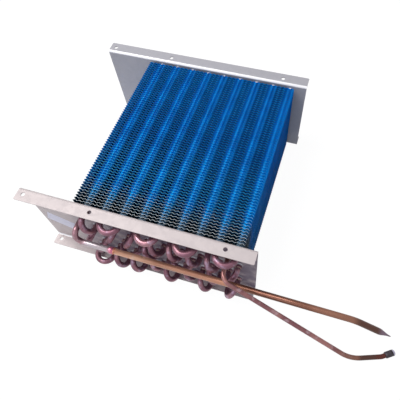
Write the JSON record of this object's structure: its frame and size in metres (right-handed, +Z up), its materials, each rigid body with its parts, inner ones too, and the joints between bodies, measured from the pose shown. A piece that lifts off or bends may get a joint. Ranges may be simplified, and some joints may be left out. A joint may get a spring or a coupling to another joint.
{
  "type": "unit cooler evaporator coil",
  "caption": "Finned evaporator coil of a walk-in unit cooler: blue fins between two galvanised channel plates, copper return bends, a suction pipe and a liquid pipe.",
  "frame": {"origin": "centre of the rectangle of outer bolt holes in the bottom flanges, on the flanges' underside", "axes": "+Z up, +X along the end plates towards the end where the pipes leave, -Y towards the side with the return bends"},
  "size_m": [0.4992, 0.3517, 0.13],
  "materials": {
    "galvanised_steel": "satin",
    "coated_fin": "satin",
    "copper": "dull",
    "black_cap": "satin",
    "paper": "matte"
  },
  "bodies": {
    "root": {"far_end_plate": "galvanised_steel", "fin_bank_01": "coated_fin", "fin_bank_02": "coated_fin", "fin_bank_03": "coated_fin", "fin_bank_04": "coated_fin", "fin_bank_05": "coated_fin", "fin_bank_06": "coated_fin", "fin_bank_07": "coated_fin", "fin_bank_08": "coated_fin", "fin_bank_09": "coated_fin", "fin_bank_10": "coated_fin", "fin_bank_11": "coated_fin", "fin_bank_12": "coated_fin", "fin_bank_13": "coated_fin", "hairpin_01": "copper", "hairpin_02": "copper", "hairpin_03": "copper", "hairpin_04": "copper", "hairpin_05": "copper", "hairpin_06": "copper", "hairpin_07": "copper", "hairpin_08": "copper", "hairpin_09": "copper", "hairpin_10": "copper", "hairpin_11": "copper", "hairpin_12": "copper", "hairpin_13": "copper", "hairpin_14": "copper", "hairpin_15": "copper", "hairpin_16": "copper", "hairpin_17": "copper", "hairpin_18": "copper", "hairpin_19": "copper", "hairpin_20": "copper", "hairpin_21": "copper", "hairpin_22": "copper", "hairpin_23": "copper", "hairpin_24": "copper", "hairpin_25": "copper", "hairpin_26": "copper", "hairpin_27": "copper", "liquid_pipe": "copper", "liquid_pipe_cap": "black_cap", "near_end_plate": "galvanised_steel", "paper_label": "paper", "return_bends_row_1": "copper", "return_bends_row_2": "copper", "return_bends_row_3": "copper", "return_bends_row_4": "copper", "return_bends_row_5": "copper", "return_bends_row_6": "copper", "suction_elbow": "copper", "suction_pipe": "copper"}
  },
  "joints": []
}
